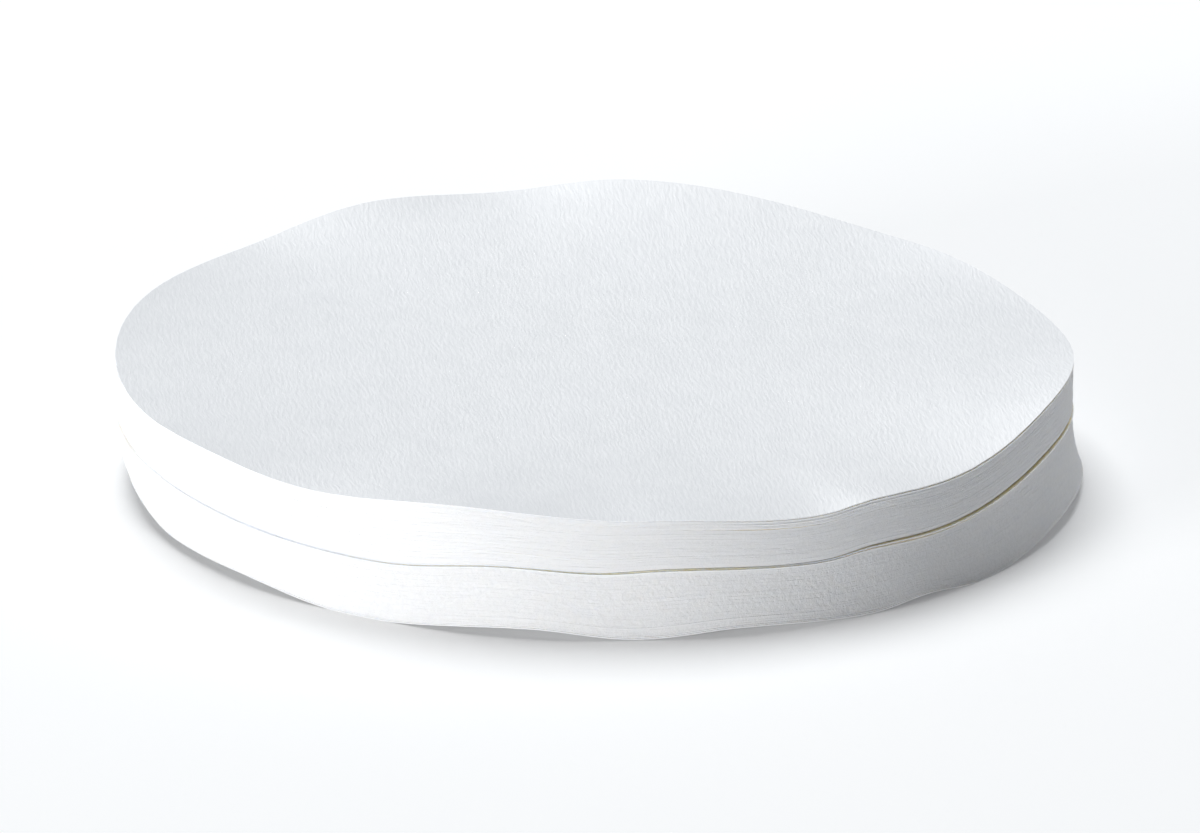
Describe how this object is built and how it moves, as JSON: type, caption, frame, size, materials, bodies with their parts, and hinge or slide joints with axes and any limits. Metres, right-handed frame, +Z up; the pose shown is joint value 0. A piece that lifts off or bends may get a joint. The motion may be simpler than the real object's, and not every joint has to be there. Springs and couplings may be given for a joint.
{
  "type": "stack of round filter papers",
  "caption": "Loose pile of round creped filter papers lying flat, with a gently waving rim and one parting near mid height.",
  "frame": {"origin": "on the table, midway between the centres of the lowest sheet and the top sheet", "axes": "+Z up through the pile, +X towards the side where the lower sheets have crept out, -Y towards the front"},
  "size_m": [0.1872, 0.185, 0.0296],
  "materials": {
    "paper_face": "matte creped",
    "paper_edges": "matte cut edges"
  },
  "bodies": {
    "root": {"lower_pack": "paper_edges", "parting_sheet": "paper_face", "upper_pack": "paper_edges", "top_sheet": "paper_face"}
  },
  "joints": []
}
